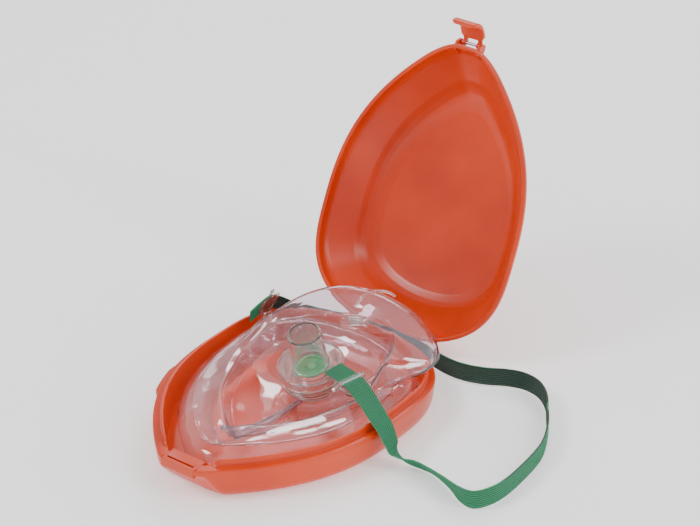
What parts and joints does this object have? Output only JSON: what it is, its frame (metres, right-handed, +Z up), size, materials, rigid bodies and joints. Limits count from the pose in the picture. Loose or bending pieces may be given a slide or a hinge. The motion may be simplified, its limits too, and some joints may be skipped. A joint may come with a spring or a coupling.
{
  "type": "pocket resuscitation mask in hinged case",
  "caption": "Clear resuscitation mask with an air cuff, one-way valve, capped gas inlet and green head strap, pushed flat in the tray of a teardrop-shaped hinged case.",
  "frame": {"origin": "centre of the tray's flat underside, on the table", "axes": "+Z up, -Y towards the latch end, +Y towards the hinge, X along the hinge pin"},
  "size_m": [0.1775, 0.2378, 0.1546],
  "materials": {
    "orange_shell": "semi-gloss moulded",
    "pin_steel": "drawn",
    "clear_soft": "clear soft",
    "clear_rigid": "clear polished",
    "green_silicone": "matte",
    "green_elastic": "woven elastic"
  },
  "bodies": {
    "tray": {"case_tray": "orange_shell", "hinge_pin": "pin_steel"},
    "lid": {"case_lid": "orange_shell", "latch_pin": "pin_steel"},
    "latch": {"latch": "orange_shell"},
    "mask": {"mask_cuff": "clear_soft", "mask_dome": "clear_soft", "near_strap_lug": "clear_soft", "far_strap_lug": "clear_soft", "gas_inlet": "clear_soft", "cap_tether": "clear_soft", "head_strap": "green_elastic"},
    "valve": {"mouthpiece": "clear_rigid", "valve_connector": "clear_rigid", "flap_stop": "green_silicone"},
    "flap": {"valve_flap": "green_silicone"},
    "cap": {"inlet_cap": "clear_soft"}
  },
  "joints": [
    {"name": "lid_hinge", "type": "hinge", "parent": "tray", "child": "lid", "pos_m": [0, 0.0766, 0.0095], "axis": [-1, 0, 0], "range_deg": [-116, 0], "deforming": ["mask_dome", "head_strap", "near_strap_lug", "far_strap_lug", "cap_tether"]},
    {"name": "latch_hinge", "type": "hinge", "parent": "lid", "child": "latch", "pos_m": [0, 0.15505, 0.14069], "axis": [-1, 0, 0], "range_deg": [-54, 25]},
    {"name": "mask_lift", "type": "slide", "parent": "tray", "child": "mask", "axis": [0, 0, 1], "range_m": [0, 0.06]},
    {"name": "valve_pull", "type": "slide", "parent": "mask", "child": "valve", "axis": [0, -0.2419, 0.9703], "range_m": [0, 0.03]},
    {"name": "flap_open", "type": "slide", "parent": "valve", "child": "flap", "axis": [0, 0.2419, -0.9703], "range_m": [0, 0.0015], "stiffness_N_per_m": 20},
    {"name": "cap_pull", "type": "slide", "parent": "mask", "child": "cap", "axis": [-0.7513, -0.6574, 0.0578], "range_m": [0, 0.008]}
  ]
}
